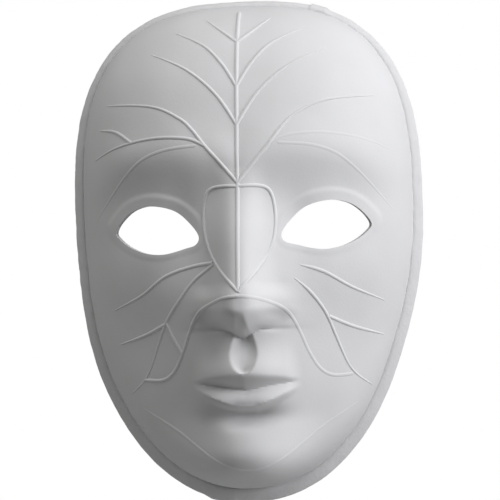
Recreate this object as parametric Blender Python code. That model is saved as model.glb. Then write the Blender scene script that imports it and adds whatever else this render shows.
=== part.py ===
"""Venetian full-face mask: a moulded paper shell, its folded edge binding and the ribs laid on it.

Lengths are millimetres until the mesh is written. x runs across the face, z up it, and the
height h stands forward of the flat back plane, so a surface point is (x, -h, z).
"""
import math

import bpy
import numpy as np
from mathutils import Vector
from mathutils.bvhtree import BVHTree
from mathutils.geometry import delaunay_2d_cdt

MM = 0.001

# outline of the face at the crease where its rim turns out
HALF_WIDTH = 79.3
CROWN = 117.6
CHIN = -114.6
WIDEST = 24.0
UPPER_POWER = 2.75
LOWER_POWER = 2.13
CREASE_HEIGHT = 5.2
EDGE_HEIGHT = 2.7
FACE_DEPTH = 56.8
OUTLINE_POINTS = 96

# paper
SHELL_THICKNESS = 1.8
RIM_WIDTH = 4.0
RIM_CHANGE = 1.7
BINDING_THICKNESS = 0.8
BINDING_GAP = 0.3
CROWN_LAP_ANGLE = 70.0
CHIN_LAP_ANGLE = -97.0
LAP_GAP = 0.6

# eye openings, outline given about the centre of the right-hand one
EYE_X = 39.5
EYE_Z = 7.0
EYE_OUTLINE = (
    (20.6, 1.0), (16.7, 6.4), (10.7, 10.3), (1.9, 11.4), (-8.6, 8.7), (-15.5, 3.1), (-20.2, -3.6),
    (-18.9, -7.6), (-13.5, -9.2), (-3.3, -11.3), (5.9, -10.2), (13.5, -6.8), (19.0, -2.4),
)

# ribs
RIB_RADIUS = 0.65
RIB_TIP_RADIUS = 0.38
RIB_GAP = 0.35
RIB_SIDES = 6
RIB_STEP = 4.5

# right-hand ribs as (x, z) points from root to tip; the left-hand ones mirror them
PAIRED_RIBS = {
    "forehead_rib_1": ((1.7, 96.6), (7.5, 101.5), (15.0, 108.0)),
    "forehead_rib_2": ((1.6, 75.0), (6.8, 84.0), (15.8, 94.0), (29.5, 101.8)),
    "forehead_rib_3": ((1.6, 56.5), (9.6, 69.0), (23.5, 82.0), (41.0, 91.5)),
    "forehead_rib_4": ((2.6, 30.0), (8.5, 37.0), (15.0, 44.6), (20.6, 52.2), (27.0, 58.4),
                       (40.0, 65.0), (63.0, 68.5)),
    "forehead_rib_5": ((17.0, 45.6), (23.5, 48.4), (40.0, 49.6), (58.0, 47.2), (70.0, 43.0)),
    "brow_line": ((21.0, 44.8), (33.0, 43.8), (44.0, 40.6), (52.5, 34.5), (61.0, 25.8), (71.0, 14.0)),
    "nose_frame": ((1.8, 25.0), (11.5, 24.8), (15.6, 20.0), (16.6, 8.0), (14.3, -3.4), (8.6, -14.0),
                   (1.9, -22.6)),
    "mouth_frame": ((0.8, -26.6), (8.8, -27.4), (17.0, -30.2), (21.8, -34.2), (25.6, -41.5), (29.4, -51.0),
                    (34.0, -58.8), (39.8, -62.3), (46.6, -62.2)),
}
CENTRE_RIBS = {
    "midrib": ((0.0, 112.0), (0.0, 66.0), (0.0, 26.0), (0.0, -0.5), (0.0, -22.6)),
    "jaw_line": ((-50.5, -75.0), (-42.0, -80.6), (-32.5, -87.0), (-24.0, -94.0), (-16.5, -99.8),
                 (-8.0, -104.2), (0.0, -105.5), (8.0, -104.2), (16.5, -99.8), (24.0, -94.0),
                 (32.5, -87.0), (42.0, -80.6), (50.5, -75.0)),
    "cheek_rib_1_left": ((-14.2, -9.8), (-22.8, -10.8), (-36.0, -14.6), (-48.0, -22.4), (-63.0, -28.4)),
    "cheek_rib_1_right": ((27.0, -11.4), (37.5, -14.6), (50.0, -21.6), (64.5, -27.6)),
    "cheek_rib_2_left": ((-16.2, -13.2), (-21.6, -17.0), (-29.2, -25.6), (-36.6, -35.6), (-41.0, -45.4),
                         (-45.4, -56.0), (-49.4, -62.2), (-56.0, -67.8)),
    "cheek_rib_2_right": ((24.4, -17.6), (31.4, -24.2), (37.6, -33.2), (42.0, -44.6), (46.4, -56.0),
                          (50.4, -61.8), (57.0, -66.8)),
    "cheek_rib_3_left": ((-39.4, -37.2), (-47.0, -40.8), (-60.5, -44.4)),
    "cheek_rib_3_right": ((41.6, -36.2), (50.0, -39.8), (63.5, -43.4)),
    "cheek_rib_4_left": ((-35.6, -38.0), (-33.4, -43.4), (-30.6, -48.6)),
    "temple_twig_left": ((-51.8, 50.6), (-58.6, 54.8), (-67.0, 57.0)),
}


# ---------------------------------------------------------------- face surface

def bell(distance, width, power=2.0):
    return np.exp(-np.abs(distance / width) ** power)


def ease(t):
    t = np.clip(t, 0.0, 1.0)
    return t * t * (3.0 - 2.0 * t)


def smooth_loop(points, per_span):
    """Closed Catmull-Rom curve through the points."""
    pts = np.array(points, dtype=float)
    before, after, beyond = np.roll(pts, 1, 0), np.roll(pts, -1, 0), np.roll(pts, -2, 0)
    rows = []
    for t in np.arange(per_span) / per_span:
        rows.append(0.5 * (2 * pts + (after - before) * t + (2 * before - 5 * pts + 4 * after - beyond) * t ** 2
                           + (3 * pts - before - 3 * after + beyond) * t ** 3))
    return np.stack(rows, 1).reshape(-1, 2)


def lopsided(z):
    """How far the outline has slipped to the left below the eyes."""
    return -2.5 * ease((10 - z) / 70)


def spread(x, z):
    """0 at the middle of the face, 1 on the crease where the rim turns out."""
    above = z > WIDEST
    reach = np.where(above, CROWN - WIDEST, WIDEST - CHIN)
    power = np.where(above, UPPER_POWER, LOWER_POWER)
    across = np.abs(x - lopsided(z))
    return ((across / HALF_WIDTH) ** power + (np.abs(z - WIDEST) / reach) ** power) ** (1 / power)


def eye_distance(across, z):
    """Distance outside the edge of an eye opening, negative within it."""
    loop = smooth_loop(EYE_OUTLINE, 4) + (EYE_X, EYE_Z)
    nearest = np.full(across.shape, 1e9)
    within = np.zeros(across.shape, bool)
    for (x0, z0), (x1, z1) in zip(loop, np.roll(loop, -1, 0)):
        dx, dz = x1 - x0, z1 - z0
        t = np.clip(((across - x0) * dx + (z - z0) * dz) / (dx * dx + dz * dz), 0, 1)
        nearest = np.minimum(nearest, np.hypot(across - x0 - t * dx, z - z0 - t * dz))
        crosses = (z < z0) != (z < z1)
        within ^= crosses & (across < x0 + (z - z0) * dx / (dz if dz else 1.0))
    return np.where(within, -nearest, nearest)


def shoulder(x, z, power):
    """1 over the face, falling to 0 on the crease; the higher the power, the tighter the turn."""
    return np.sqrt(1 - np.clip(spread(x, z), 0, 1) ** power)


def dome(x, z):
    """A round forehead running into a narrower, prow-like jaw."""
    upper = FACE_DEPTH * (1 - np.clip(spread(x, z), 0, 1) ** 2.2) ** 0.58
    down = np.clip((WIDEST - z) / (WIDEST - CHIN), 0, 1)
    across = np.hypot(x - lopsided(z), 20) - 20
    lower = np.maximum(FACE_DEPTH * (1 - 0.36 * down ** 1.9) - 0.226 * across ** 1.3, 3) * shoulder(x, z, 26)
    return CREASE_HEIGHT + upper + (lower - upper) * ease((WIDEST + 6 - z) / 70)


def brow(across, z):
    arch = 34.5 + 6.0 * np.sin(np.clip((across + 2) / 70, 0, 1) * np.pi)
    ridge = 2.4 * bell(z - arch - 3, 12) * ease((across + 14) / 26) * ease((80 - across) / 30)
    socket = 7.6 * bell((across - 42) / 27, 1, 2.6) * bell(z - 9 + 0.12 * (40 - across), 20, 2.3)
    inner_corner = 2.5 * bell(across - 26, 9) * bell(z - 8, 13)
    return ridge - socket - inner_corner


def lids(across, z):
    upper = ease((z - EYE_Z + 4) / 10)
    rim = (0.35 + 0.3 * upper) * (1 - ease((eye_distance(across, z) - 0.8 - 3.0 * upper) / 2.8))
    swell = 3.6 * bell(np.hypot((across - EYE_X) / 1.5, z - EYE_Z), 17, 3)
    return rim + swell


def cheeks(across, z):
    bone = 3.0 * bell(np.hypot((across - 46) / 1.4, z + 14), 22)
    hollow = 2.5 * bell(np.hypot((across - 40) / 1.2, z + 56), 26)
    return bone - hollow


def nose(across, z):
    down = np.clip((34 - z) / 60, 0, 1)
    below = np.clip((z + 40.5 + 4.0 * bell(across, 5)) / (10 + 3 * bell(across, 5)), 0, 1)
    underside = 1 - (1 - below) ** 2.4
    ridge = (1.5 + 18 * down ** 1.2) * bell(across, 9.2 + 1.8 * down, 2.7) * ease((52 - z) / 24)
    base = 3.4 * bell(across, 17 + 6 * down, 3) * ease((26 - z) / 30)
    wings = 3.4 * bell(across - 12.5, 9.5, 2.8) * ease(across / 9) * ease((-19 - z) / 9)
    nostrils = 3.4 * bell(np.hypot((across - 14.0) / 7.5, (z + 36.2 - 0.1 * (across - 14)) / 3.9), 1, 3)
    return (ridge + base + wings) * underside - nostrils


def mouth(across, z):
    out = np.clip(across / 26.5, 0, 1)
    meet = -68.8 + 4.6 * out
    bow = -61.3 - 2.6 * out ** 1.5
    crest = -75.6 + 10.6 * np.clip((across - 4) / 22.5, 0, 1) ** 1.3
    upper = np.where(z > bow, bell(z - bow, 10), ease((z - meet) / (bow - meet + 0.4)) ** 0.8)
    lower = np.where(z > crest, np.clip((meet - z) / (meet - crest + 0.4), 0, 1) ** 0.8,
                     1 - ease((crest - z) / 3.6))
    lips = 6.2 * (1 - out ** 2.2) * ease((1 - out) / 0.3) * np.where(z > meet, upper, lower)
    muzzle = 3.6 * bell(np.hypot(across / 1.4, (z + 60) * 1.05), 26)
    half = np.where(z > -52, 2.4 + 4.0 * ease((-36 - z) / 16),
                    6.4 * np.sqrt(np.clip(1 - ((z + 52) / 9) ** 2, 0.01, 1)))
    groove = 2.6 * np.clip(1 - (across / half) ** 2, 0, 1) * ease((-33.5 - z) / 7) * ease((z + 61.8) / 2.4)
    return lips + muzzle - groove


def chin(across, z):
    fold = 6.8 * bell(z + 80, 4.8) * bell(across, 15)
    beside = 2.5 * bell(np.hypot(across - 30, z + 80), 15)
    ball = 8.5 * bell(np.hypot(across / 1.35, z + 106), 17.0, 2.6)
    return ball - fold - beside


def height(x, z):
    across = np.abs(x)
    features = brow(across, z) + lids(across, z) + cheeks(across, z) + nose(across, z) + mouth(across, z) \
        + chin(across, z)
    return dome(x, z) + features * shoulder(x, z, 20)


def normals(x, z):
    """Unit outward normals as (x, height, z) rows, taken over a millimetre and a half each way."""
    step = 1.5
    dx = (height(x + step, z) - height(x - step, z)) / (2 * step)
    dz = (height(x, z + step) - height(x, z - step)) / (2 * step)
    n = np.stack([-dx, np.ones_like(dx), -dz], 1)
    return n / np.linalg.norm(n, axis=1, keepdims=True)


# ---------------------------------------------------------------- outline and rim

def crease_points(angles):
    c, s = np.cos(angles), np.sin(angles)
    reach = np.where(s > 0, CROWN - WIDEST, WIDEST - CHIN)
    power = np.where(s > 0, UPPER_POWER, LOWER_POWER)
    r = ((np.abs(c) / HALF_WIDTH) ** power + (np.abs(s) / reach) ** power) ** (-1 / power)
    return np.stack([r * c + lopsided(WIDEST + r * s), WIDEST + r * s], 1)


def outward(angles):
    ahead, behind = crease_points(angles + 0.01), crease_points(angles - 0.01)
    edge = ahead - behind
    edge /= np.linalg.norm(edge, axis=1, keepdims=True)
    return np.stack([edge[:, 1], -edge[:, 0]], 1)


def rim_point(angles, share, along, lift):
    """A point on the turned-out rim: share of its width and along mm out, lift mm off its skin."""
    out = outward(angles)
    width = RIM_WIDTH - RIM_CHANGE * out[:, 1]
    drop = CREASE_HEIGHT - EDGE_HEIGHT
    length = np.hypot(width, drop)
    run = share * length + along
    xz = crease_points(angles) + out * ((run * width + lift * drop) / length)[:, None]
    return np.stack([xz[:, 0], CREASE_HEIGHT + (lift * width - run * drop) / length, xz[:, 1]], 1)


def foot_point(angles, beyond):
    """A point on the back plane, beyond mm outside the shell's front edge."""
    out = outward(angles)
    xz = crease_points(angles) + out * (RIM_WIDTH - RIM_CHANGE * out[:, 1] + beyond)[:, None]
    return np.stack([xz[:, 0], np.zeros(len(xz)), xz[:, 1]], 1)


# ---------------------------------------------------------------- mesh helpers

def paper(name, colour, roughness):
    material = bpy.data.materials.new(name)
    material.use_nodes = True
    shader = material.node_tree.nodes["Principled BSDF"]
    shader.inputs["Base Color"].default_value = (*colour, 1.0)
    shader.inputs["Roughness"].default_value = roughness
    shader.inputs["Metallic"].default_value = 0.0
    return material


def add_object(name, points, faces, material):
    """Make the object from (x, height, z) rows in millimetres."""
    mesh = bpy.data.meshes.new(name)
    mesh.from_pydata([(x * MM, -h * MM, z * MM) for x, h, z in points], [], faces)
    mesh.validate()
    mesh.materials.append(material)
    obj = bpy.data.objects.new(name, mesh)
    bpy.context.scene.collection.objects.link(obj)
    return obj


def grid_points():
    """Scattered points inside the crease, closer together round the nose and mouth."""
    rows = []
    for pitch, fine in ((6.0, False), (3.6, True)):
        row = 0
        z = CHIN
        while z < CROWN:
            x = -HALF_WIDTH - 3 + (pitch / 2 if row % 2 else 0.0)
            while x < HALF_WIDTH:
                inner = abs(x) < 30 and -88 < z < -14
                if inner == fine:
                    rows.append((x, z))
                x += pitch
            z += pitch * 0.87
            row += 1
    pts = np.array(rows)
    keep = (spread(pts[:, 0], pts[:, 1]) < 0.9) & (eye_distance(np.abs(pts[:, 0]), pts[:, 1]) > 4.5)
    return pts[keep]


def face_triangles():
    """Plan points and triangles between the crease and the eye openings."""
    angles = np.linspace(0, 2 * math.pi, OUTLINE_POINTS, endpoint=False)
    crease = crease_points(angles)
    middle = np.stack([lopsided(crease[:, 1]), np.full(len(crease), WIDEST)], 1)
    rings = [middle + (crease - middle) * f for f in (0.985, 0.955, 0.92)]
    eye = smooth_loop(EYE_OUTLINE, 2) + (EYE_X, EYE_Z)
    centre = eye.mean(0)
    rim = centre + (eye - centre) * 1.18
    eyes = [eye, eye * (-1, 1)]
    rims = [rim, rim * (-1, 1)]
    plan = np.concatenate([crease] + rings + eyes + rims + [grid_points()])
    edges = []
    start = 0
    for loop, fixed in [(crease, True)] + [(r, False) for r in rings] + [(e, True) for e in eyes]:
        if fixed:
            edges += [(start + i, start + (i + 1) % len(loop)) for i in range(len(loop))]
        start += len(loop)
    verts, _, tris, *_ = delaunay_2d_cdt([Vector(p) for p in plan], edges, [], 0, 1e-6)
    verts = np.array([tuple(v) for v in verts])
    tris = np.array(tris)
    mid = verts[tris].mean(1)
    keep = (spread(mid[:, 0], mid[:, 1]) < 1) & (eye_distance(np.abs(mid[:, 0]), mid[:, 1]) > 0)
    return verts, tris[keep]


# ---------------------------------------------------------------- sub-parts

def build_shell(material):
    plan, tris = face_triangles()
    count = len(plan)
    angles = np.linspace(0, 2 * math.pi, OUTLINE_POINTS, endpoint=False)
    rim = np.arange(OUTLINE_POINTS)
    x, z = plan[:, 0], plan[:, 1]
    h = height(x, z)
    h[rim] = CREASE_HEIGHT
    lean = normals(x * 0.999, z)
    mixed = rim_point(angles, 0, 0, 1.0) - rim_point(angles, 0, 0, 0) + normals(x[rim] * 0.985, z[rim] * 0.985)
    lean[rim] = mixed / np.linalg.norm(mixed, axis=1, keepdims=True)
    front = np.stack([x, h, z], 1)
    back = front - lean * SHELL_THICKNESS
    edge = rim_point(angles, 1.0, 0.0, 0.0)
    edge_in = rim_point(angles, 1.0, 0.0, -SHELL_THICKNESS)
    points = np.concatenate([front, back, edge, edge_in])
    # plan triangles run anticlockwise seen from the front
    faces = [(a, c, b) if turn(plan[[a, b, c]]) < 0 else (a, b, c) for a, b, c in tris.tolist()]
    outside = list(faces)
    faces += [(c + count, b + count, a + count) for a, b, c in outside]
    n = OUTLINE_POINTS
    for i in range(n):
        j = (i + 1) % n
        for low, high, flip in ((2 * count, 0, False), (2 * count + n, count, True)):
            quad = [low + i, low + j, high + j, high + i]
            faces.append(tuple(quad[::-1] if flip else quad))
        faces.append((2 * count + j, 2 * count + i, 2 * count + n + i, 2 * count + n + j))
    for a, b in boundary(outside, n):
        faces.append((b, a, a + count, b + count))
    obj = add_object("face_shell", points, faces, material)
    return obj, (front, outside)


def turn(p):
    return (p[1][0] - p[0][0]) * (p[2][1] - p[0][1]) - (p[1][1] - p[0][1]) * (p[2][0] - p[0][0])


def boundary(faces, rim_count):
    """Directed boundary edges of the front skin other than those on the crease."""
    directed = set()
    for f in faces:
        directed.update(zip(f, f[1:] + f[:1]))
    return sorted(e for e in directed if (e[1], e[0]) not in directed and min(e) >= rim_count)


def build_binding(name, first, last, material):
    count = max(8, int(abs(last - first) / 360 * OUTLINE_POINTS))
    angles = np.radians(np.linspace(first, last, count + 1))
    over = BINDING_GAP + BINDING_THICKNESS
    under = -SHELL_THICKNESS - BINDING_GAP - 0.05
    rings = [
        rim_point(angles, 0, 0.5, BINDING_GAP), rim_point(angles, 0, 0.5, over),
        rim_point(angles, 1, 0.3, over), rim_point(angles, 1, over, 0.2),
        foot_point(angles, 0.6), foot_point(angles, -2.0),
        rim_point(angles, 1, -2.6, under - BINDING_THICKNESS), rim_point(angles, 1, -2.6, under),
        rim_point(angles, 1, BINDING_GAP, under), rim_point(angles, 1, BINDING_GAP, BINDING_GAP),
    ]
    sides = len(rings)
    points = np.stack(rings, 1).reshape(-1, 3)
    faces = []
    for i in range(count):
        for k in range(sides):
            m = (k + 1) % sides
            faces.append((i * sides + k, i * sides + m, (i + 1) * sides + m, (i + 1) * sides + k))
    for start, flip in ((0, True), (count * sides, False)):
        for piece in ((0, 1, 2, 9), (9, 2, 3), (9, 3, 4, 8), (8, 4, 5), (8, 5, 6, 7)):
            cap = [start + q for q in piece]
            faces.append(tuple(cap[::-1] if flip else cap))
    return add_object(name, points, faces, material)


def rib_path(points):
    """Evenly spaced plan points along a smooth open curve."""
    pts = np.array(points, dtype=float)
    ends = np.concatenate([[2 * pts[0] - pts[1]], pts, [2 * pts[-1] - pts[-2]]])
    fine = []
    for i in range(len(pts) - 1):
        a, b, c, d = ends[i:i + 4]
        for t in np.arange(12) / 12:
            fine.append(0.5 * (2 * b + (c - a) * t + (2 * a - 5 * b + 4 * c - d) * t ** 2
                               + (3 * b - a - 3 * c + d) * t ** 3))
    fine = np.array(fine + [pts[-1]])
    run = np.concatenate([[0], np.cumsum(np.linalg.norm(np.diff(fine, axis=0), axis=1))])
    count = max(3, int(round(run[-1] / RIB_STEP)))
    marks = np.linspace(0, run[-1], count + 1)
    return np.stack([np.interp(marks, run, fine[:, 0]), np.interp(marks, run, fine[:, 1])], 1)


def lift_over_skin(centres, lean, radii, skin):
    """Raise the rib's centre line until every span clears the skin by the gap."""
    for _ in range(6):
        for i in range(len(centres) - 1):
            short = 0.0
            for t in (0.0, 0.2, 0.4, 0.6, 0.8, 1.0):
                p = centres[i] * (1 - t) + centres[i + 1] * t
                radius = radii[i] * (1 - t) + radii[i + 1] * t
                short = max(short, radius + RIB_GAP - skin.find_nearest(Vector(p))[3])
            if short > 0:
                centres[i] += lean[i] * short * 0.6
                centres[i + 1] += lean[i + 1] * short * 0.6
    return centres


def build_rib(name, points, tapered, skin, material):
    path = rib_path(points)
    count = len(path)
    lean = normals(path[:, 0], path[:, 1])
    front = np.stack([path[:, 0], height(path[:, 0], path[:, 1]), path[:, 1]], 1)
    share = np.linspace(0, 1, count)
    radii = RIB_RADIUS + (RIB_TIP_RADIUS - RIB_RADIUS) * (share ** 2 if tapered else 0 * share)
    centres = lift_over_skin(front + lean * (radii + RIB_GAP)[:, None], lean, radii, skin)
    along = np.gradient(centres, axis=0)
    along /= np.linalg.norm(along, axis=1, keepdims=True)
    side = np.cross(along, lean)
    side /= np.linalg.norm(side, axis=1, keepdims=True)
    up = np.cross(side, along)
    rings = []
    for k in range(RIB_SIDES):
        a = 2 * math.pi * k / RIB_SIDES
        rings.append(centres + radii[:, None] * (side * math.cos(a) + up * math.sin(a)))
    ring_points = np.stack(rings, 1).reshape(-1, 3)
    faces = []
    for i in range(count - 1):
        for k in range(RIB_SIDES):
            m = (k + 1) % RIB_SIDES
            faces.append((i * RIB_SIDES + k, i * RIB_SIDES + m, (i + 1) * RIB_SIDES + m, (i + 1) * RIB_SIDES + k))
    faces.append(tuple(range(RIB_SIDES))[::-1])
    faces.append(tuple(range((count - 1) * RIB_SIDES, count * RIB_SIDES)))
    return add_object(name, ring_points, faces, material)


def build_mask():
    for obj in list(bpy.data.objects):
        bpy.data.objects.remove(obj)
    pulp = paper("pulp_white", (0.86, 0.86, 0.86), 0.8)
    strip = paper("binding_paper", (0.84, 0.84, 0.83), 0.85)
    cord = paper("rib_pulp", (0.88, 0.88, 0.88), 0.75)
    _, (front, faces) = build_shell(pulp)
    skin = BVHTree.FromPolygons([tuple(p) for p in front], faces)
    trim = math.degrees(LAP_GAP / 2 / 118)
    build_binding("edge_binding_right", CHIN_LAP_ANGLE + trim, CROWN_LAP_ANGLE - trim, strip)
    build_binding("edge_binding_left", CROWN_LAP_ANGLE + trim, 360 + CHIN_LAP_ANGLE - trim, strip)
    for name, points in PAIRED_RIBS.items():
        tapered = name not in ("nose_frame", "mouth_frame")
        build_rib(name + "_right", points, tapered, skin, cord)
        build_rib(name + "_left", [(-x, z) for x, z in points], tapered, skin, cord)
    for name, points in CENTRE_RIBS.items():
        build_rib(name, points, name not in ("midrib", "jaw_line"), skin, cord)


build_mask()
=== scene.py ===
"""Full-face masquerade mask in plain white paper pulp, with laid ribs and a bound edge."""
import math

import bpy
import numpy as np
from mathutils import Matrix, Vector, noise
from mathutils.geometry import delaunay_2d_cdt


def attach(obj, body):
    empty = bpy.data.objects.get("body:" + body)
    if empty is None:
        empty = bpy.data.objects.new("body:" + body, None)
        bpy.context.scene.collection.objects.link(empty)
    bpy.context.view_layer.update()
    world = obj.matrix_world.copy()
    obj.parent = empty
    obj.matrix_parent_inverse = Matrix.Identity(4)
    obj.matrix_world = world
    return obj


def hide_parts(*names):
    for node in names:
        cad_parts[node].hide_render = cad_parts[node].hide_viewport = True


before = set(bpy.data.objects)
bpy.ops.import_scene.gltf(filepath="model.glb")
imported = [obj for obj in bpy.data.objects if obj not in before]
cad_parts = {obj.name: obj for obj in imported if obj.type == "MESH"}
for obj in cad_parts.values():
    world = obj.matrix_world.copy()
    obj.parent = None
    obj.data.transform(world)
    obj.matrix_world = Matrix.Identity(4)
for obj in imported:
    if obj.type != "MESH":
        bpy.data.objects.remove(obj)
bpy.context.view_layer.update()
MM = 0.001


# ================================================================ FACE SHELL
# The face itself: wet paper pulp pressed about two millimetres thick over a mould and dried, turned
# out into a narrow rim all round and cut through at the eyes. x is across, z up, height forward.

HALF_WIDTH, CROWN, CHIN, WIDEST = 79.3, 117.6, -114.6, 24.0
CREASE_HEIGHT, EDGE_HEIGHT, FACE_DEPTH = 5.2, 2.7, 56.8
SHELL_THICKNESS = 1.8
RIM_WIDTH, RIM_CHANGE = 4.0, 1.7
UPPER_POWER, LOWER_POWER = 2.75, 2.13
EYE_X, EYE_Z = 39.5, 7.0
EYE_OUTLINE = (
    (20.6, 1.0), (16.7, 6.4), (10.7, 10.3), (1.9, 11.4), (-8.6, 8.7), (-15.5, 3.1), (-20.2, -3.6),
    (-18.9, -7.6), (-13.5, -9.2), (-3.3, -11.3), (5.9, -10.2), (13.5, -6.8), (19.0, -2.4),
)


def bell(distance, width, power=2.0):
    return np.exp(-np.abs(distance / width) ** power)


def ease(t):
    t = np.clip(t, 0.0, 1.0)
    return t * t * (3.0 - 2.0 * t)


def eye_loop(per_span):
    """The opening's edge as a smooth closed curve through its outline."""
    pts = np.array(EYE_OUTLINE, dtype=float)
    before, after, beyond = np.roll(pts, 1, 0), np.roll(pts, -1, 0), np.roll(pts, -2, 0)
    rows = []
    for t in np.arange(per_span) / per_span:
        rows.append(0.5 * (2 * pts + (after - before) * t
                           + (2 * before - 5 * pts + 4 * after - beyond) * t ** 2
                           + (3 * pts - before - 3 * after + beyond) * t ** 3))
    return np.stack(rows, 1).reshape(-1, 2) + (EYE_X, EYE_Z)


def lopsided(z):
    """How far the outline has slipped to the left below the eyes."""
    return -2.5 * ease((10 - z) / 70)


def spread(x, z):
    """0 at the middle of the face, 1 on the crease where the rim turns out."""
    above = z > WIDEST
    reach = np.where(above, CROWN - WIDEST, WIDEST - CHIN)
    power = np.where(above, UPPER_POWER, LOWER_POWER)
    across = np.abs(x - lopsided(z))
    return ((across / HALF_WIDTH) ** power + (np.abs(z - WIDEST) / reach) ** power) ** (1 / power)


def eye_distance(across, z):
    """Distance outside the edge of an eye opening, negative within it."""
    loop = eye_loop(5)
    nearest = np.full(across.shape, 1e9)
    within = np.zeros(across.shape, bool)
    for (x0, z0), (x1, z1) in zip(loop, np.roll(loop, -1, 0)):
        dx, dz = x1 - x0, z1 - z0
        t = np.clip(((across - x0) * dx + (z - z0) * dz) / (dx * dx + dz * dz), 0, 1)
        nearest = np.minimum(nearest, np.hypot(across - x0 - t * dx, z - z0 - t * dz))
        crosses = (z < z0) != (z < z1)
        within ^= crosses & (across < x0 + (z - z0) * dx / (dz if dz else 1.0))
    return np.where(within, -nearest, nearest)


def shoulder(x, z, power):
    """1 over the face, falling to 0 on the crease; the higher the power, the tighter the turn."""
    return np.sqrt(1 - np.clip(spread(x, z), 0, 1) ** power)


def dome(x, z):
    """A round forehead running into a narrower, prow-like jaw."""
    upper = FACE_DEPTH * (1 - np.clip(spread(x, z), 0, 1) ** 2.2) ** 0.58
    down = np.clip((WIDEST - z) / (WIDEST - CHIN), 0, 1)
    across = np.hypot(x - lopsided(z), 20) - 20
    lower = np.maximum(FACE_DEPTH * (1 - 0.36 * down ** 1.9) - 0.226 * across ** 1.3, 3) * shoulder(x, z, 26)
    return CREASE_HEIGHT + upper + (lower - upper) * ease((WIDEST + 6 - z) / 70)


def brow(across, z):
    arch = 34.5 + 6.0 * np.sin(np.clip((across + 2) / 70, 0, 1) * np.pi)
    ridge = 2.4 * bell(z - arch - 3, 12) * ease((across + 14) / 26) * ease((80 - across) / 30)
    socket = 7.6 * bell((across - 42) / 27, 1, 2.6) * bell(z - 9 + 0.12 * (40 - across), 20, 2.3)
    inner_corner = 2.5 * bell(across - 26, 9) * bell(z - 8, 13)
    return ridge - socket - inner_corner


def lids(across, z):
    upper = ease((z - EYE_Z + 4) / 10)
    rim = (0.35 + 0.3 * upper) * (1 - ease((eye_distance(across, z) - 0.8 - 3.0 * upper) / 2.8))
    swell = 3.6 * bell(np.hypot((across - EYE_X) / 1.5, z - EYE_Z), 17, 3)
    return rim + swell


def cheeks(across, z):
    bone = 3.0 * bell(np.hypot((across - 46) / 1.4, z + 14), 22)
    hollow = 2.5 * bell(np.hypot((across - 40) / 1.2, z + 56), 26)
    return bone - hollow


def nose(across, z):
    down = np.clip((34 - z) / 60, 0, 1)
    below = np.clip((z + 40.5 + 4.0 * bell(across, 5)) / (10 + 3 * bell(across, 5)), 0, 1)
    underside = 1 - (1 - below) ** 2.4
    ridge = (1.5 + 18 * down ** 1.2) * bell(across, 9.2 + 1.8 * down, 2.7) * ease((52 - z) / 24)
    base = 3.4 * bell(across, 17 + 6 * down, 3) * ease((26 - z) / 30)
    wings = 3.4 * bell(across - 12.5, 9.5, 2.8) * ease(across / 9) * ease((-19 - z) / 9)
    nostrils = 3.4 * bell(np.hypot((across - 14.0) / 7.5, (z + 36.2 - 0.1 * (across - 14)) / 3.9), 1, 3)
    return (ridge + base + wings) * underside - nostrils


def mouth(across, z):
    out = np.clip(across / 26.5, 0, 1)
    meet = -68.8 + 4.6 * out
    bow = -61.3 - 2.6 * out ** 1.5
    crest = -75.6 + 10.6 * np.clip((across - 4) / 22.5, 0, 1) ** 1.3
    upper = np.where(z > bow, bell(z - bow, 10), ease((z - meet) / (bow - meet + 0.4)) ** 0.8)
    lower = np.where(z > crest, np.clip((meet - z) / (meet - crest + 0.4), 0, 1) ** 0.8,
                     1 - ease((crest - z) / 3.6))
    lips = 6.2 * (1 - out ** 2.2) * ease((1 - out) / 0.3) * np.where(z > meet, upper, lower)
    muzzle = 3.6 * bell(np.hypot(across / 1.4, (z + 60) * 1.05), 26)
    half = np.where(z > -52, 2.4 + 4.0 * ease((-36 - z) / 16),
                    6.4 * np.sqrt(np.clip(1 - ((z + 52) / 9) ** 2, 0.01, 1)))
    groove = 2.6 * np.clip(1 - (across / half) ** 2, 0, 1) * ease((-33.5 - z) / 7) * ease((z + 61.8) / 2.4)
    return lips + muzzle - groove


def chin(across, z):
    fold = 6.8 * bell(z + 80, 4.8) * bell(across, 15)
    beside = 2.5 * bell(np.hypot(across - 30, z + 80), 15)
    ball = 8.5 * bell(np.hypot(across / 1.35, z + 106), 17.0, 2.6)
    return ball - fold - beside


def height(x, z):
    across = np.abs(x)
    features = brow(across, z) + lids(across, z) + cheeks(across, z) + nose(across, z) + mouth(across, z) \
        + chin(across, z)
    return dome(x, z) + features * shoulder(x, z, 20)


def surface_normals(x, z):
    """Unit outward normals as (x, height, z) rows."""
    step = 0.4
    dx = (height(x + step, z) - height(x - step, z)) / (2 * step)
    dz = (height(x, z + step) - height(x, z - step)) / (2 * step)
    n = np.stack([-dx, np.ones_like(dx), -dz], 1)
    return n / np.linalg.norm(n, axis=1, keepdims=True)


def crease_points(angles):
    c, s = np.cos(angles), np.sin(angles)
    reach = np.where(s > 0, CROWN - WIDEST, WIDEST - CHIN)
    power = np.where(s > 0, UPPER_POWER, LOWER_POWER)
    r = ((np.abs(c) / HALF_WIDTH) ** power + (np.abs(s) / reach) ** power) ** (-1 / power)
    return np.stack([r * c + lopsided(WIDEST + r * s), WIDEST + r * s], 1)


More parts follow.
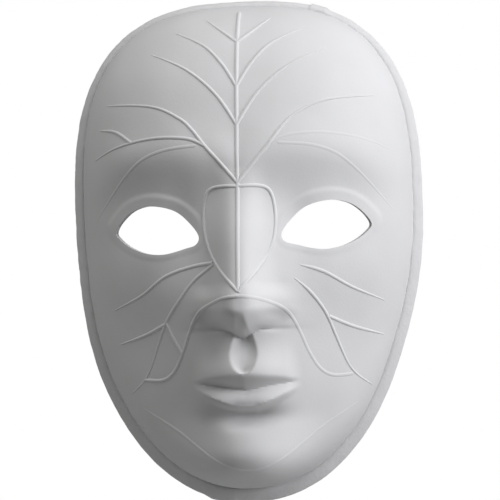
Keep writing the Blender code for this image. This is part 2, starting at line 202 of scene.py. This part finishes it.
def rim_point(angles, share, along, lift):
    """A point on the turned-out rim: share of its width and along mm out, lift mm off its skin."""
    ahead, behind = crease_points(angles + 0.01), crease_points(angles - 0.01)
    edge = ahead - behind
    edge /= np.linalg.norm(edge, axis=1, keepdims=True)
    out = np.stack([edge[:, 1], -edge[:, 0]], 1)
    width = RIM_WIDTH - RIM_CHANGE * out[:, 1]
    drop = CREASE_HEIGHT - EDGE_HEIGHT
    length = np.hypot(width, drop)
    run = share * length + along
    xz = crease_points(angles) + out * ((run * width + lift * drop) / length)[:, None]
    h = CREASE_HEIGHT + (lift * width - run * drop) / length
    return np.stack([xz[:, 0], np.maximum(h, 0.0), xz[:, 1]], 1)


def uneven(points, size, amount, seed):
    """Slow swelling and sinking of hand-pressed pulp, in mm, at each (x, height, z) row."""
    return np.array([noise.noise(Vector(p) / size + Vector((seed, 0, 0))) for p in points]) * amount


def plan_grid():
    """Points scattered over the face, closest round the eyes, nose and mouth."""
    rows = []
    for pitch, fine in ((1.35, False), (0.8, True)):
        z, row = CHIN, 0
        while z < CROWN:
            x = np.arange(-HALF_WIDTH - 3 + (pitch / 2 if row % 2 else 0.0), HALF_WIDTH, pitch)
            nose_mouth = (np.abs(x) < 32) & (-92 < z < -12)
            eyes = (np.abs(np.abs(x) - EYE_X) < 29) & (abs(z - EYE_Z) < 20)
            x = x[(nose_mouth | eyes) == fine]
            rows.append(np.stack([x, np.full(len(x), z)], 1))
            z += pitch * 0.87
            row += 1
    pts = np.concatenate(rows)
    return pts[(spread(pts[:, 0], pts[:, 1]) < 0.975) & (eye_distance(np.abs(pts[:, 0]), pts[:, 1]) > 0.7)]


def make_shell():
    angles = np.linspace(0, 2 * math.pi, 420, endpoint=False)
    n = len(angles)
    crease = crease_points(angles)
    middle = np.stack([lopsided(crease[:, 1]), np.full(n, WIDEST)], 1)
    rings = [(crease - middle) * f + middle for f in (0.998, 0.994, 0.988, 0.98)]
    eye = eye_loop(8)
    plan = np.concatenate([crease, eye, eye * (-1, 1)] + rings + [plan_grid()])
    edges = [(i, (i + 1) % n) for i in range(n)]
    for start in (n, n + len(eye)):
        edges += [(start + i, start + (i + 1) % len(eye)) for i in range(len(eye))]
    verts, _, tris, *_ = delaunay_2d_cdt([Vector(p) for p in plan], edges, [], 0, 1e-6)
    plan = np.array([tuple(v) for v in verts])
    tris = np.array(tris)
    mid = plan[tris].mean(1)
    tris = tris[(spread(mid[:, 0], mid[:, 1]) < 1) & (eye_distance(np.abs(mid[:, 0]), mid[:, 1]) > 0)]
    a, b, c = plan[tris[:, 0]], plan[tris[:, 1]], plan[tris[:, 2]]
    turn = (b[:, 0] - a[:, 0]) * (c[:, 1] - a[:, 1]) - (b[:, 1] - a[:, 1]) * (c[:, 0] - a[:, 0])
    tris[turn < 0] = tris[turn < 0][:, ::-1]
    x, z = plan[:, 0], plan[:, 1]
    h = height(x, z)
    h[:n] = CREASE_HEIGHT
    lean = surface_normals(x * 0.999, z)
    rim_lean = rim_point(angles, 0, 0, 1.0) - rim_point(angles, 0, 0, 0)
    mixed = rim_lean + surface_normals(x[:n] * 0.985, z[:n] * 0.985)
    lean[:n] = mixed / np.linalg.norm(mixed, axis=1, keepdims=True)
    front = np.stack([x, h, z], 1)
    inner = front - lean * SHELL_THICKNESS
    settle = ease((1 - spread(x, z)) / 0.06)
    front = front + lean * (uneven(front, 17.0, 0.22, 3.0) * settle)[:, None]
    inner = inner + lean * (uneven(inner, 9.0, 0.35, 8.0) * settle)[:, None]
    edge = rim_point(angles, 1.0, 0.0, 0.0)
    edge_in = rim_point(angles, 1.0, 0.0, -SHELL_THICKNESS)
    count = len(plan)
    faces = [tuple(t) for t in tris.tolist()]
    directed = {(f[i], f[(i + 1) % 3]) for f in faces for i in range(3)}
    faces += [(c + count, b + count, a + count) for a, b, c in tris.tolist()]
    for i in range(n):
        j = (i + 1) % n
        faces.append((2 * count + i, 2 * count + j, j, i))
        faces.append((count + i, count + j, 2 * count + n + j, 2 * count + n + i))
        faces.append((2 * count + j, 2 * count + i, 2 * count + n + i, 2 * count + n + j))
    for a, b in sorted(e for e in directed if (e[1], e[0]) not in directed and min(e) >= n):
        faces.append((b, a, a + count, b + count))
    points = np.concatenate([front, inner, edge, edge_in])
    mesh = bpy.data.meshes.new("moulded_face")
    mesh.from_pydata([(px * MM, -ph * MM, pz * MM) for px, ph, pz in points], [], faces)
    mesh.shade_smooth()
    mesh.set_sharp_from_angle(angle=math.radians(48))
    return mesh


def paper_finish(name, tone, roughness, grain_mm, bump, streak):
    """Matt white paper: mottled tone, fibres lying every way, fine tooth."""
    material = bpy.data.materials.new(name)
    material.use_nodes = True
    tree = material.node_tree
    shader = tree.nodes["Principled BSDF"]
    shader.inputs["Roughness"].default_value = roughness
    shader.inputs["Specular IOR Level"].default_value = 0.25
    place = tree.nodes.new("ShaderNodeTexCoord")

    def pattern(kind, scale, **values):
        node = tree.nodes.new(kind)
        tree.links.new(place.outputs["Object"], node.inputs["Vector"])
        node.inputs["Scale"].default_value = scale
        for key, value in values.items():
            node.inputs[key].default_value = value
        return node

    cloudy = pattern("ShaderNodeTexNoise", 45.0, Detail=3.0)
    tone_ramp = tree.nodes.new("ShaderNodeValToRGB")
    tone_ramp.color_ramp.elements[0].position = 0.3
    tone_ramp.color_ramp.elements[0].color = (tone * 0.965, tone * 0.965, tone * 0.96, 1)
    tone_ramp.color_ramp.elements[1].position = 0.75
    tone_ramp.color_ramp.elements[1].color = (tone, tone, tone * 1.005, 1)
    tree.links.new(cloudy.outputs["Fac"], tone_ramp.inputs["Fac"])
    tree.links.new(tone_ramp.outputs["Color"], shader.inputs["Base Color"])

    tooth = pattern("ShaderNodeTexNoise", 1000.0 / grain_mm, Detail=4.0, Roughness=0.6)
    fibres = pattern("ShaderNodeTexNoise", 380.0, Detail=2.0, Distortion=streak)
    blend = tree.nodes.new("ShaderNodeMath")
    blend.operation = "MULTIPLY_ADD"
    blend.inputs[1].default_value = 0.6
    tree.links.new(fibres.outputs["Fac"], blend.inputs[0])
    tree.links.new(tooth.outputs["Fac"], blend.inputs[2])
    relief = tree.nodes.new("ShaderNodeBump")
    relief.inputs["Strength"].default_value = 1.0
    relief.inputs["Distance"].default_value = bump * MM
    tree.links.new(blend.outputs["Value"], relief.inputs["Height"])
    tree.links.new(relief.outputs["Normal"], shader.inputs["Normal"])
    return material


pulp = paper_finish("white paper pulp", 0.82, 0.85, 0.8, 0.05, 1.5)
face = bpy.data.objects.new("moulded_face", make_shell())
bpy.context.scene.collection.objects.link(face)
face.data.materials.append(pulp)
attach(face, "root")
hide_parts("face_shell")


# ================================================================ EDGE BINDING
# Two strips of torn paper pasted round the raw edge, one for each side. Each wraps from the
# crease, round the back edge and a little way inside, and they lap at the chin and the crown.

BINDING_THICKNESS = 0.9
CROWN_LAP_ANGLE, CHIN_LAP_ANGLE, LAP_DEGREES = 70.0, -97.0, 4.0
LAP_RISE = 0.6


def make_binding(name, first, last, seed):
    """Sweep the folded section; the last end lies over the other strip and stands proud of it."""
    count = int(abs(last - first) * 1.2)
    degrees = np.linspace(first, last, count + 1)
    angles = np.radians(degrees)
    proud = LAP_RISE * (1 - ease((np.abs(degrees - last) - LAP_DEGREES) / 2.0))
    thick, wall = BINDING_THICKNESS, SHELL_THICKNESS
    wander = np.array([noise.noise(Vector((a * 7.0, seed, 0)))
                       + 0.6 * noise.noise(Vector((a * 31.0, seed, 5))) for a in angles])
    front = 0.35 + 0.4 * wander
    section = (
        (0.0, front - 0.2, -0.15), (0.0, front, 0.3), (0.0, front + 0.45, 0.62), (0.0, front + 1.2, thick),
        (0.6, 0.0, thick + 0.05), (0.85, 0.0, thick), (1.0, 0.0, thick - 0.1), (1.0, 0.6, thick - 0.45),
        (1.0, thick, 0.0), (1.0, thick + 0.05, -1.0), (1.0, 0.75, -2.2), (1.0, 0.2, -3.0), (1.0, -0.6, -3.4),
        (1.0, -1.9, -3.4), (1.0, -2.7, -2.9), (1.0, -3.1 + 0.3 * wander, -2.2),
        (1.0, -3.1 + 0.3 * wander, -wall + 0.25), (1.0, -0.25, -wall + 0.25), (1.0, -0.25, -0.25),
        (0.0, 1.2, -0.25),
    )
    rings = []
    for k, (share, along, lift) in enumerate(section):
        outside = 0 < k < 14
        ring = rim_point(angles, share, along + (proud if 6 < k < 12 else 0.0), lift)
        if outside:
            lumps = uneven(ring, 5.0, 0.16, seed) + uneven(ring, 1.7, 0.07, seed + 4)
            ring = rim_point(angles, share, along + (proud + lumps if 6 < k < 12 else 0.0),
                             lift + (proud + lumps if k < 8 else 0.0))
        rings.append(ring)
    sides = len(section)
    points = np.stack(rings, 1).reshape(-1, 3)
    faces = []
    for i in range(count):
        for k in range(sides):
            m = (k + 1) % sides
            faces.append((i * sides + k, i * sides + m, (i + 1) * sides + m, (i + 1) * sides + k))
    faces.append(tuple(range(sides))[::-1])
    faces.append(tuple(range(count * sides, (count + 1) * sides)))
    mesh = bpy.data.meshes.new(name)
    mesh.from_pydata([(px * MM, -ph * MM, pz * MM) for px, ph, pz in points], [], faces)
    mesh.shade_smooth()
    mesh.set_sharp_from_angle(angle=math.radians(55))
    return mesh


torn_paper = paper_finish("pasted paper strip", 0.80, 0.9, 1.6, 0.22, 3.0)
for side_name, first, last, seed in (
        ("right", CHIN_LAP_ANGLE, CROWN_LAP_ANGLE, 2.0),
        ("left", CROWN_LAP_ANGLE - LAP_DEGREES * 0.5, 360 + CHIN_LAP_ANGLE + LAP_DEGREES, 6.0)):
    strip_name = "binding_strip_" + side_name
    strip = bpy.data.objects.new(strip_name, make_binding(strip_name, first, last, seed))
    bpy.context.scene.collection.objects.link(strip)
    strip.data.materials.append(torn_paper)
    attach(strip, "root")
    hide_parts("edge_binding_" + side_name)


# ================================================================ RIBS
# Cords of pulp laid on the wet face in a leaf-vein pattern and smoothed down along both sides,
# so each stands up half a millimetre or so and dies away towards its free end.

PAIRED_RIBS = {
    "forehead_rib_1": ((0.0, 95.2), (7.5, 101.5), (15.0, 108.0)),
    "forehead_rib_2": ((0.0, 72.6), (6.8, 84.0), (15.8, 94.0), (29.5, 101.8)),
    "forehead_rib_3": ((0.0, 54.0), (9.6, 69.0), (23.5, 82.0), (41.0, 91.5)),
    "forehead_rib_4": ((0.0, 26.6), (8.5, 37.0), (15.0, 44.6), (20.6, 52.2), (27.0, 58.4),
                       (40.0, 65.0), (63.0, 68.5)),
    "forehead_rib_5": ((15.0, 44.6), (23.5, 48.4), (40.0, 49.6), (58.0, 47.2), (70.0, 43.0)),
    "brow_line": ((19.0, 44.8), (33.0, 43.8), (44.0, 40.6), (52.5, 34.5), (61.0, 25.8), (71.0, 14.0)),
    "nose_frame": ((0.0, 25.0), (11.5, 24.8), (15.6, 20.0), (16.6, 8.0), (14.3, -3.4), (8.6, -14.0),
                   (0.0, -24.4)),
    "mouth_frame": ((0.0, -26.4), (8.8, -27.4), (17.0, -30.2), (21.8, -34.2), (25.6, -41.5), (29.4, -51.0),
                    (34.0, -58.8), (39.8, -62.3), (48.8, -61.8)),
}
SINGLE_RIBS = {
    "midrib": ((0.0, 112.0), (0.0, 66.0), (0.0, 26.0), (0.0, -0.5), (0.0, -24.4)),
    "jaw_line": ((-50.5, -75.0), (-42.0, -80.6), (-32.5, -87.0), (-24.0, -94.0), (-16.5, -99.8),
                 (-8.0, -104.2), (0.0, -105.5), (8.0, -104.2), (16.5, -99.8), (24.0, -94.0),
                 (32.5, -87.0), (42.0, -80.6), (50.5, -75.0)),
    "cheek_rib_1_left": ((-12.2, -9.8), (-22.8, -10.8), (-36.0, -14.6), (-48.0, -22.4), (-63.0, -28.4)),
    "cheek_rib_1_right": ((27.0, -11.4), (37.5, -14.6), (50.0, -21.6), (64.5, -27.6)),
    "cheek_rib_2_left": ((-12.0, -10.6), (-21.6, -17.0), (-29.2, -25.6), (-36.6, -35.6), (-41.0, -45.4),
                         (-45.4, -56.0), (-49.4, -62.2), (-56.0, -67.8)),
    "cheek_rib_2_right": ((24.4, -17.6), (31.4, -24.2), (37.6, -33.2), (42.0, -44.6), (46.4, -56.0),
                          (50.4, -61.8), (57.0, -66.8)),
    "cheek_rib_3_left": ((-37.4, -36.6), (-47.0, -40.8), (-60.5, -44.4)),
    "cheek_rib_3_right": ((39.2, -35.2), (50.0, -39.8), (63.5, -43.4)),
    "cheek_rib_4_left": ((-36.6, -36.0), (-33.4, -43.4), (-29.2, -50.6)),
    "temple_twig_left": ((-50.8, 48.8), (-58.6, 54.8), (-67.0, 57.0)),
}
for rib_name, rib_points in PAIRED_RIBS.items():
    SINGLE_RIBS[rib_name + "_right"] = rib_points
    SINGLE_RIBS[rib_name + "_left"] = tuple((-x, z) for x, z in rib_points)
FAINT_RIBS = ("brow_line_right", "forehead_rib_5_right")
LOW_RIBS = ("brow_line_left", "jaw_line", "mouth_frame_right")
FAINT_RIB_HEIGHT, LOW_RIB_HEIGHT, RIB_HEIGHT = 0.22, 0.3, 0.6
MIDRIB_HALF_WIDTH, RIB_HALF_WIDTH = 1.05, 0.95


def rib_tree():
    """Geometry nodes: drop a plan line on the face and sweep a soft-footed ridge along it."""
    tree = bpy.data.node_groups.new("laid rib", "GeometryNodeTree")
    face_io = tree.interface
    face_io.new_socket("Geometry", in_out="INPUT", socket_type="NodeSocketGeometry")
    for label, kind in (("Face", "Object"), ("Half width", "Float"), ("Height", "Float"),
                        ("Root size", "Float"), ("Tip size", "Float"), ("Finish", "Material")):
        face_io.new_socket(label, in_out="INPUT", socket_type="NodeSocket" + kind)
    face_io.new_socket("Geometry", in_out="OUTPUT", socket_type="NodeSocketGeometry")

    def add(kind, **settings):
        node = tree.nodes.new(kind)
        for key, value in settings.items():
            setattr(node, key, value)
        return node

    def wire(source, target):
        tree.links.new(source, target)

    def maths(operation, first, second=None, third=None):
        node = add("ShaderNodeMath", operation=operation)
        for slot_index, value in enumerate((first, second, third)):
            if isinstance(value, (int, float)):
                node.inputs[slot_index].default_value = value
            elif value is not None:
                wire(value, node.inputs[slot_index])
        return node.outputs["Value"]

    given = add("NodeGroupInput").outputs
    line = add("GeometryNodeMeshToCurve")
    wire(given["Geometry"], line.inputs["Mesh"])
    rounded = add("GeometryNodeCurveSplineType", spline_type="CATMULL_ROM")
    wire(line.outputs["Curve"], rounded.inputs["Curve"])
    spaced = add("GeometryNodeResampleCurve", mode="LENGTH")
    spaced.inputs["Length"].default_value = 0.0009
    wire(rounded.outputs["Curve"], spaced.inputs["Curve"])

    target = add("GeometryNodeObjectInfo", transform_space="RELATIVE")
    wire(given["Face"], target.inputs["Object"])
    drop = add("GeometryNodeRaycast")
    wire(target.outputs["Geometry"], drop.inputs["Target Geometry"])
    drop.inputs["Ray Direction"].default_value = (0, 1, 0)
    drop.inputs["Ray Length"].default_value = 0.5
    laid = add("GeometryNodeSetPosition")
    wire(spaced.outputs["Curve"], laid.inputs["Geometry"])
    wire(drop.outputs["Hit Position"], laid.inputs["Position"])

    surface = add("GeometryNodeSampleNearestSurface", data_type="FLOAT_VECTOR")
    wire(target.outputs["Geometry"], surface.inputs["Mesh"])
    wire(add("GeometryNodeInputNormal").outputs["Normal"], surface.inputs["Value"])
    standing = add("GeometryNodeSetCurveNormal", mode="FREE")
    wire(laid.outputs["Geometry"], standing.inputs["Curve"])
    wire(surface.outputs["Value"], standing.inputs["Normal"])

    run = add("GeometryNodeSplineParameter").outputs["Factor"]
    from_root = maths("SMOOTH_MIN", maths("MULTIPLY_ADD", run, 5.0, given["Root size"]), 1.0, 0.1)
    lost = maths("MULTIPLY", maths("POWER", run, 2.5), maths("SUBTRACT", 1.0, given["Tip size"]))
    size = maths("MULTIPLY", from_root, maths("SUBTRACT", 1.0, lost))

    ring = add("GeometryNodeCurvePrimitiveCircle")
    ring.inputs["Resolution"].default_value = 18
    ring.inputs["Radius"].default_value = 1.0
    where = add("ShaderNodeSeparateXYZ")
    wire(add("GeometryNodeInputPosition").outputs["Position"], where.inputs["Vector"])
    rise = maths("POWER", maths("MAXIMUM", where.outputs["X"], 0.0), 1.7)
    sunk = maths("MULTIPLY", maths("MINIMUM", where.outputs["X"], 0.0), 0.0005)
    section = add("ShaderNodeCombineXYZ")
    wire(maths("MULTIPLY_ADD", rise, given["Height"], maths("SUBTRACT", sunk, 0.00008)), section.inputs["X"])
    wire(maths("MULTIPLY", where.outputs["Y"], given["Half width"]), section.inputs["Y"])
    profile = add("GeometryNodeSetPosition")
    wire(ring.outputs["Curve"], profile.inputs["Geometry"])
    wire(section.outputs["Vector"], profile.inputs["Position"])

    swept = add("GeometryNodeCurveToMesh")
    wire(standing.outputs["Curve"], swept.inputs["Curve"])
    wire(profile.outputs["Geometry"], swept.inputs["Profile Curve"])
    wire(size, swept.inputs["Scale"])
    swept.inputs["Fill Caps"].default_value = True
    real = add("GeometryNodeRealizeInstances")
    wire(swept.outputs["Mesh"], real.inputs["Geometry"])
    finish = add("GeometryNodeSetMaterial")
    wire(real.outputs["Geometry"], finish.inputs["Geometry"])
    wire(given["Finish"], finish.inputs["Material"])
    wire(finish.outputs["Geometry"], add("NodeGroupOutput").inputs["Geometry"])
    return tree


laid_rib = rib_tree()
rib_sockets = {s.name: s.identifier for s in laid_rib.interface.items_tree if s.in_out == "INPUT"}
smoothed_pulp = paper_finish("smoothed rib pulp", 0.83, 0.8, 0.8, 0.04, 1.5)
for rib_name, rib_points in sorted(SINGLE_RIBS.items()):
    both_ends_thin = rib_name in ("jaw_line", "cheek_rib_1_right", "cheek_rib_2_right")
    ends_on_rib = rib_name.startswith(("nose_frame", "mouth_frame", "midrib", "cheek_rib_4"))
    plan_line = bpy.data.meshes.new(rib_name)
    plan_line.from_pydata([(x * MM, -0.2, z * MM) for x, z in rib_points],
                          [(i, i + 1) for i in range(len(rib_points) - 1)], [])
    source = bpy.data.objects.new(rib_name + "_line", plan_line)
    bpy.context.scene.collection.objects.link(source)
    nodes = source.modifiers.new("laid rib", "NODES")
    nodes.node_group = laid_rib
    nodes[rib_sockets["Face"]] = face
    rib_height = RIB_HEIGHT
    if rib_name in FAINT_RIBS:
        rib_height = FAINT_RIB_HEIGHT
    elif rib_name in LOW_RIBS:
        rib_height = LOW_RIB_HEIGHT
    nodes[rib_sockets["Height"]] = rib_height * MM
    nodes[rib_sockets["Half width"]] = (MIDRIB_HALF_WIDTH if rib_name == "midrib" else RIB_HALF_WIDTH) * MM
    nodes[rib_sockets["Root size"]] = 0.35 if both_ends_thin else 1.0
    nodes[rib_sockets["Tip size"]] = 1.0 if ends_on_rib else 0.35
    nodes[rib_sockets["Finish"]] = smoothed_pulp
    depsgraph = bpy.context.evaluated_depsgraph_get()
    rib_mesh = bpy.data.meshes.new_from_object(source.evaluated_get(depsgraph), depsgraph=depsgraph)
    rib_mesh.name = rib_name
    rib_mesh.shade_smooth()
    bpy.data.objects.remove(source)
    rib = bpy.data.objects.new("laid_" + rib_name, rib_mesh)
    bpy.context.scene.collection.objects.link(rib)
    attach(rib, "root")
    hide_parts(rib_name)


# ================================================================ SETTING
# A small pale table well below the mask and a white surround. Two soft lamps stand on the right,
# one low and strong, one higher; a third is overhead and weak ones fill the left side and the back.

TABLE_RADIUS, TABLE_LEVEL, TABLE_SIDES = 0.35, -0.55, 96
LAMP_DISTANCE, CAMERA_DISTANCE = 1.5, 1.25

table_mesh = bpy.data.meshes.new("table")
table_ring = [(TABLE_RADIUS * math.cos(a), TABLE_RADIUS * math.sin(a), TABLE_LEVEL)
              for a in np.linspace(0, 2 * math.pi, TABLE_SIDES + 1)[:-1]]
table_mesh.from_pydata(table_ring, [], [tuple(range(TABLE_SIDES))])
table = bpy.data.objects.new("table", table_mesh)
bpy.context.scene.collection.objects.link(table)
pale = bpy.data.materials.new("pale table top")
pale.use_nodes = True
pale.node_tree.nodes["Principled BSDF"].inputs["Base Color"].default_value = (0.8, 0.8, 0.8, 1)
pale.node_tree.nodes["Principled BSDF"].inputs["Roughness"].default_value = 0.9
table_mesh.materials.append(pale)


def soft_lamp(name, towards, size, power, colour):
    data = bpy.data.lights.new(name, "AREA")
    data.shape, data.size, data.energy, data.color = "DISK", size, power, colour
    lamp = bpy.data.objects.new(name, data)
    direction = Vector(towards).normalized()
    lamp.location = direction * LAMP_DISTANCE
    lamp.rotation_euler = direction.to_track_quat("Z", "Y").to_euler()
    bpy.context.scene.collection.objects.link(lamp)


soft_lamp("key_lamp", (0.925, -0.337, 0.174), 0.7, 12.8, (0.965, 0.965, 1.0))
soft_lamp("upper_key_lamp", (0.579, -0.579, 0.574), 0.7, 6.0, (0.97, 0.97, 1.0))
soft_lamp("top_lamp", (0.171, -0.47, 0.866), 0.7, 4.6, (0.99, 0.99, 1.0))
soft_lamp("back_lamp", (0.3, 1.0, 0.3), 0.9, 3.0, (1.0, 1.0, 1.0))
soft_lamp("fill_lamp", (-0.76, -0.26, 0.6), 0.9, 4.7, (1.0, 0.99, 0.98))

world = bpy.data.worlds.new("white surround")
bpy.context.scene.world = world
world.use_nodes = True
sky = world.node_tree
seen = sky.nodes.new("ShaderNodeLightPath")
shade = sky.nodes.new("ShaderNodeMix")
shade.data_type = "RGBA"
shade.inputs["A"].default_value = (0.1, 0.1, 0.1, 1)
shade.inputs["B"].default_value = (1.0, 1.0, 1.0, 1)
sky.links.new(seen.outputs["Is Camera Ray"], shade.inputs["Factor"])
sky.links.new(shade.outputs["Result"], sky.nodes["Background"].inputs["Color"])

azimuth, elevation, roll = math.radians(4.3), math.radians(-4.0), math.radians(-1.8)
back = Vector((math.sin(azimuth) * math.cos(elevation), -math.cos(azimuth) * math.cos(elevation),
               math.sin(elevation)))
camera_data = bpy.data.cameras.new("camera")
camera_data.sensor_width, camera_data.lens = 36.0, 186.3
camera_data.clip_end = 50.0
camera = bpy.data.objects.new("camera", camera_data)
camera.location = back * CAMERA_DISTANCE
camera.rotation_euler = (back.to_track_quat("Z", "Y").to_matrix() @ Matrix.Rotation(roll, 3, "Z")).to_euler()
bpy.context.scene.collection.objects.link(camera)
bpy.context.scene.camera = camera
bpy.context.scene.view_settings.view_transform = "Standard"
bpy.context.scene.view_settings.look = "None"
